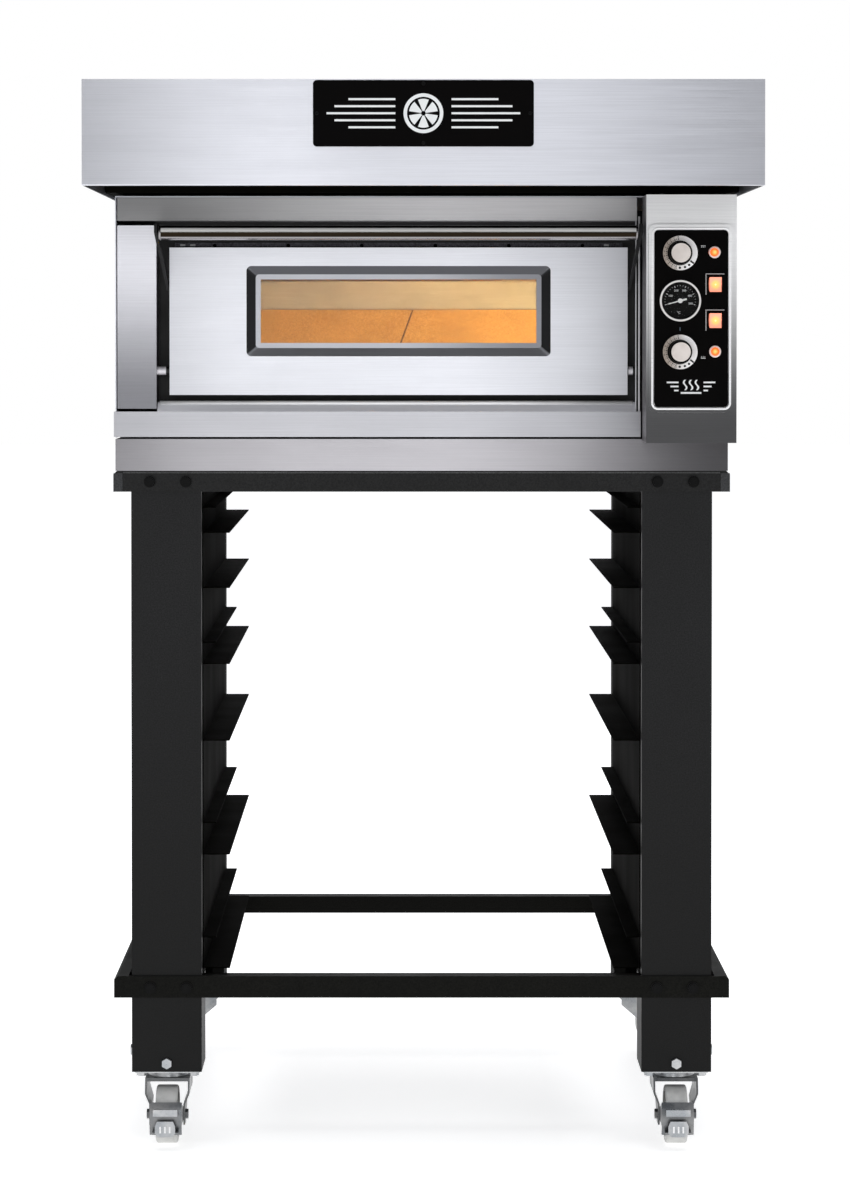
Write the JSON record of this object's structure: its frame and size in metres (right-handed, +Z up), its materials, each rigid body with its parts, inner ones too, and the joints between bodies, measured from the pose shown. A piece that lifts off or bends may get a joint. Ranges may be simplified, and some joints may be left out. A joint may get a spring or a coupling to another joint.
{
  "type": "pizza deck oven on wheeled stand",
  "caption": "Electric pizza deck oven with glazed drop-down door, side control panel and steam hood, on a black tray-rack stand with swivel casters.",
  "frame": {"origin": "on the floor, below the middle of the object's plan outline", "axes": "+Z up, -Y towards the cook (the door side), +X to the right seen from the front"},
  "size_m": [0.876, 1.067, 1.494],
  "materials": {
    "stainless": "brushed",
    "door_steel": "brushed",
    "polished_steel": "polished",
    "black_paint": "matt powder coat",
    "zinc": "zinc plated",
    "nylon": "moulded",
    "liner_steel": "heat-tinted",
    "refractory": "fired, porous",
    "mineral_wool": "fibrous",
    "heater": "oxidised",
    "lamp_glass": "clear",
    "window_glass": "clear",
    "seal": "matt",
    "control_black": "satin black",
    "knob_plastic": "moulded",
    "rocker_orange": "lit from inside",
    "pilot_orange": "lit from inside",
    "needle_white": "satin",
    "electrics": "moulded",
    "gland": "moulded"
  },
  "bodies": {
    "root": {"base_pan": "stainless", "cable_gland": "gland", "caster_plates": "zinc", "chamber_lamp": "lamp_glass", "chamber_liner": "liner_steel", "control_box": "stainless", "control_plate": "control_black", "floor_element": "heater", "flue_collar": "zinc", "frame_bolts": "black_paint", "hearth_stones": "refractory", "hinge_blocks": "stainless", "hood_baffle": "stainless", "hood_shell": "stainless", "insulation": "mineral_wool", "left_column": "stainless", "lower_frame": "black_paint", "nameplate": "control_black", "pilot_lamps": "pilot_orange", "rear_cover": "stainless", "runner_rack_left": "black_paint", "runner_rack_right": "black_paint", "side_cover_left": "stainless", "side_cover_right": "stainless", "sill_trim": "stainless", "stand_leg_front_left": "black_paint", "stand_leg_front_right": "black_paint", "stand_leg_rear_left": "black_paint", "stand_leg_rear_right": "black_paint", "switch_bezels": "control_black", "terminal_block": "electrics", "thermometer_case": "polished_steel", "thermostats": "electrics", "top_cover": "stainless", "top_element": "heater", "top_fascia": "stainless", "upper_frame": "black_paint", "zinc_bolts": "zinc"},
    "door": {"door_outer_panel": "door_steel", "door_inner_panel": "door_steel", "door_glass": "window_glass", "door_seal": "seal", "door_handle": "polished_steel", "handle_arms": "black_paint", "hinge_pins": "polished_steel"},
    "knob_top": {"knob_top": "knob_plastic"},
    "knob_floor": {"knob_floor": "knob_plastic"},
    "rocker_upper": {"rocker_upper": "rocker_orange"},
    "rocker_lower": {"rocker_lower": "rocker_orange"},
    "needle": {"thermometer_needle": "needle_white"},
    "swivel_front_left": {"caster_fork_front_left": "zinc"},
    "wheel_front_left": {"caster_wheel_front_left": "nylon"},
    "pedal_left": {"brake_pedal_left": "zinc"},
    "swivel_front_right": {"caster_fork_front_right": "zinc"},
    "wheel_front_right": {"caster_wheel_front_right": "nylon"},
    "pedal_right": {"brake_pedal_right": "zinc"},
    "swivel_rear_left": {"caster_fork_rear_left": "zinc"},
    "wheel_rear_left": {"caster_wheel_rear_left": "nylon"},
    "swivel_rear_right": {"caster_fork_rear_right": "zinc"},
    "wheel_rear_right": {"caster_wheel_rear_right": "nylon"}
  },
  "joints": [
    {"name": "door_hinge", "type": "hinge", "parent": "root", "child": "door", "pos_m": [-0.032, -0.1695, 1.0765], "axis": [1, 0, 0], "range_deg": [0, 90]},
    {"name": "knob_top_turn", "type": "hinge", "parent": "root", "child": "knob_top", "pos_m": [0.351, -0.2675, 1.2375], "axis": [0, 1, 0], "range_deg": [0, 270]},
    {"name": "knob_floor_turn", "type": "hinge", "parent": "root", "child": "knob_floor", "pos_m": [0.351, -0.2675, 1.103], "axis": [0, 1, 0], "range_deg": [0, 270]},
    {"name": "rocker_upper_tip", "type": "hinge", "parent": "root", "child": "rocker_upper", "pos_m": [0.399, -0.2645, 1.1955], "axis": [1, 0, 0], "range_deg": [-14, 0]},
    {"name": "rocker_lower_tip", "type": "hinge", "parent": "root", "child": "rocker_lower", "pos_m": [0.399, -0.2645, 1.1465], "axis": [1, 0, 0], "range_deg": [-14, 0]},
    {"name": "needle_turn", "type": "hinge", "parent": "root", "child": "needle", "pos_m": [0.351, -0.2675, 1.1725], "axis": [0, 1, 0], "range_deg": [0, 210]},
    {"name": "swivel_front_left_turn", "type": "hinge", "parent": "root", "child": "swivel_front_left", "pos_m": [-0.354, -0.1395, 0.09], "axis": [0, 0, 1], "continuous": true},
    {"name": "wheel_front_left_roll", "type": "hinge", "parent": "swivel_front_left", "child": "wheel_front_left", "pos_m": [-0.354, -0.1675, 0.04], "axis": [1, 0, 0], "continuous": true},
    {"name": "pedal_left_press", "type": "hinge", "parent": "swivel_front_left", "child": "pedal_left", "pos_m": [-0.354, -0.1675, 0.04], "axis": [1, 0, 0], "range_deg": [0, 14]},
    {"name": "swivel_front_right_turn", "type": "hinge", "parent": "root", "child": "swivel_front_right", "pos_m": [0.354, -0.1395, 0.09], "axis": [0, 0, 1], "continuous": true},
    {"name": "wheel_front_right_roll", "type": "hinge", "parent": "swivel_front_right", "child": "wheel_front_right", "pos_m": [0.354, -0.1675, 0.04], "axis": [1, 0, 0], "continuous": true},
    {"name": "pedal_right_press", "type": "hinge", "parent": "swivel_front_right", "child": "pedal_right", "pos_m": [0.354, -0.1675, 0.04], "axis": [1, 0, 0], "range_deg": [0, 14]},
    {"name": "swivel_rear_left_turn", "type": "hinge", "parent": "root", "child": "swivel_rear_left", "pos_m": [-0.354, 0.4645, 0.09], "axis": [0, 0, 1], "continuous": true},
    {"name": "wheel_rear_left_roll", "type": "hinge", "parent": "swivel_rear_left", "child": "wheel_rear_left", "pos_m": [-0.382, 0.4645, 0.04], "axis": [0, 1, 0], "continuous": true},
    {"name": "swivel_rear_right_turn", "type": "hinge", "parent": "root", "child": "swivel_rear_right", "pos_m": [0.354, 0.4645, 0.09], "axis": [0, 0, 1], "continuous": true},
    {"name": "wheel_rear_right_roll", "type": "hinge", "parent": "swivel_rear_right", "child": "wheel_rear_right", "pos_m": [0.382, 0.4645, 0.04], "axis": [0, 1, 0], "continuous": true}
  ]
}
